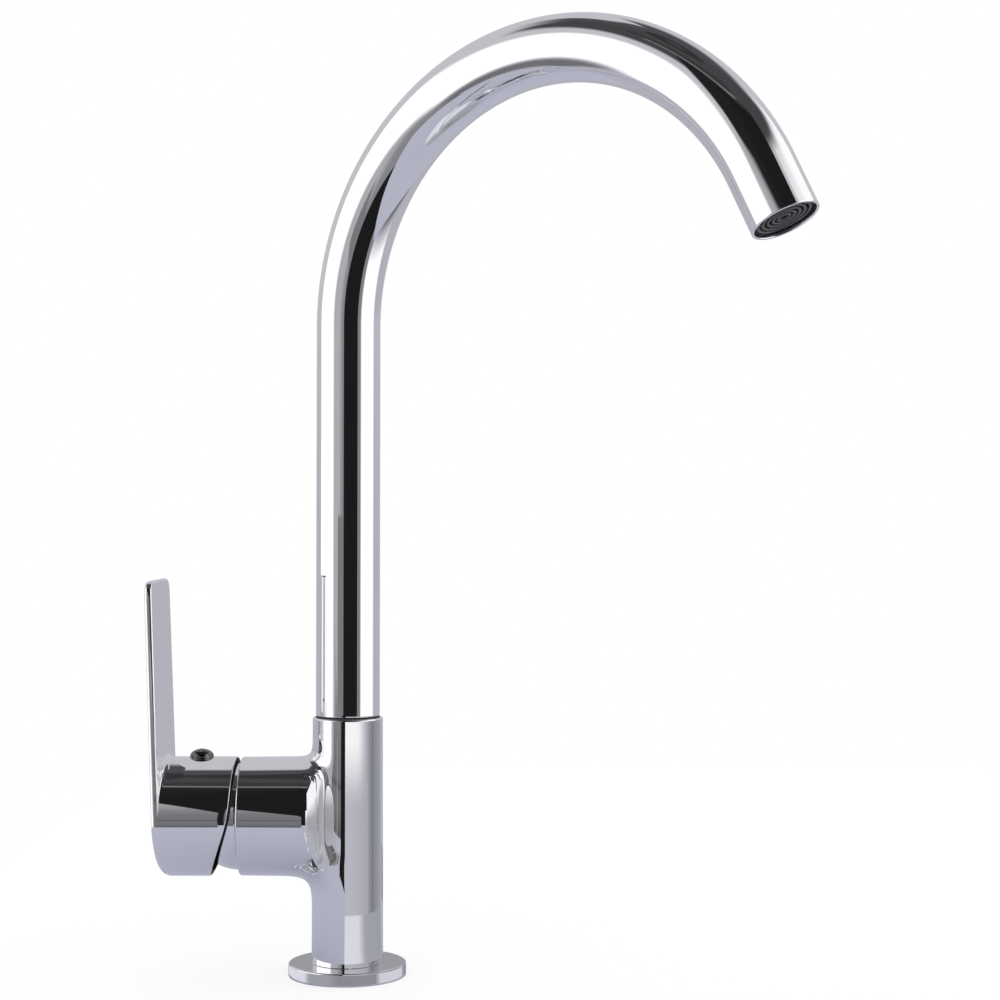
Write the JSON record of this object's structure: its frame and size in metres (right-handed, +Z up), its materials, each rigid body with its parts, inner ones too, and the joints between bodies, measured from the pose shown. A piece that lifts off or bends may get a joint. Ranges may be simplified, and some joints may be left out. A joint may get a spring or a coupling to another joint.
{
  "type": "three way filtered water tap",
  "caption": "Deck-mounted kitchen tap with a swan neck swivel spout and one side lever for hot, cold and separately piped filtered water.",
  "frame": {"origin": "centre of the base's underside, on the column's axis, where the tap sits on the worktop", "axes": "+Z up along the column; the cartridge and lever point along -X; the spout swivels about Z and at rest points 35.5 degrees from +X towards -Y"},
  "size_m": [0.2742, 0.1646, 0.4075],
  "materials": {
    "chrome": "polished",
    "black_nickel": "polished dark",
    "brass": "turned",
    "steel": "turned",
    "rubber": "satin",
    "pale_plastic": "moulded",
    "dark_plastic": "moulded",
    "ceramic": "lapped"
  },
  "bodies": {
    "tap_body": {"body_casting": "chrome", "base_flange": "chrome", "base_gasket": "rubber", "slide_ring": "dark_plastic", "filter_seal": "rubber", "spout_lock_screw": "steel", "port_seals": "rubber", "cartridge_base": "pale_plastic", "fixed_disc": "ceramic", "cartridge_shell": "pale_plastic", "cartridge_nut": "brass", "bonnet_ring": "chrome"},
    "turret": {"cartridge_turret": "pale_plastic", "turret_seal": "rubber", "pivot_pin": "steel"},
    "disc": {"moving_disc": "ceramic", "disc_carrier": "pale_plastic"},
    "lever": {"lever_handle": "chrome", "lever_screw": "black_nickel", "lever_stem": "steel"},
    "spout": {"spout_tube": "chrome", "spout_spigot": "brass", "spigot_seals": "rubber", "filter_tube": "pale_plastic", "outlet_collar": "brass", "aerator_housing": "dark_plastic", "aerator_grille": "dark_plastic", "aerator_mesh": "steel", "aerator_diffuser": "dark_plastic", "aerator_gasket": "rubber"}
  },
  "joints": [
    {"name": "spout_swivel", "type": "hinge", "parent": "tap_body", "child": "spout", "pos_m": [0, 0, 0.1], "axis": [0, 0, 1], "continuous": true},
    {"name": "lever_turn", "type": "hinge", "parent": "tap_body", "child": "turret", "pos_m": [-0.0465, 0, 0.0696], "axis": [-1, 0, 0], "range_deg": [-50, 50]},
    {"name": "lever_tilt", "type": "hinge", "parent": "turret", "child": "lever", "pos_m": [-0.0465, 0, 0.0696], "axis": [0, -1, 0], "range_deg": [0, 22]},
    {"name": "disc_slide", "type": "slide", "parent": "turret", "child": "disc", "axis": [0, 0, 1], "range_m": [0, 0.0054]}
  ],
  "couplings": [
    {"joint": "disc_slide", "follows": "lever_tilt", "m_per_rad": 0.013824}
  ]
}
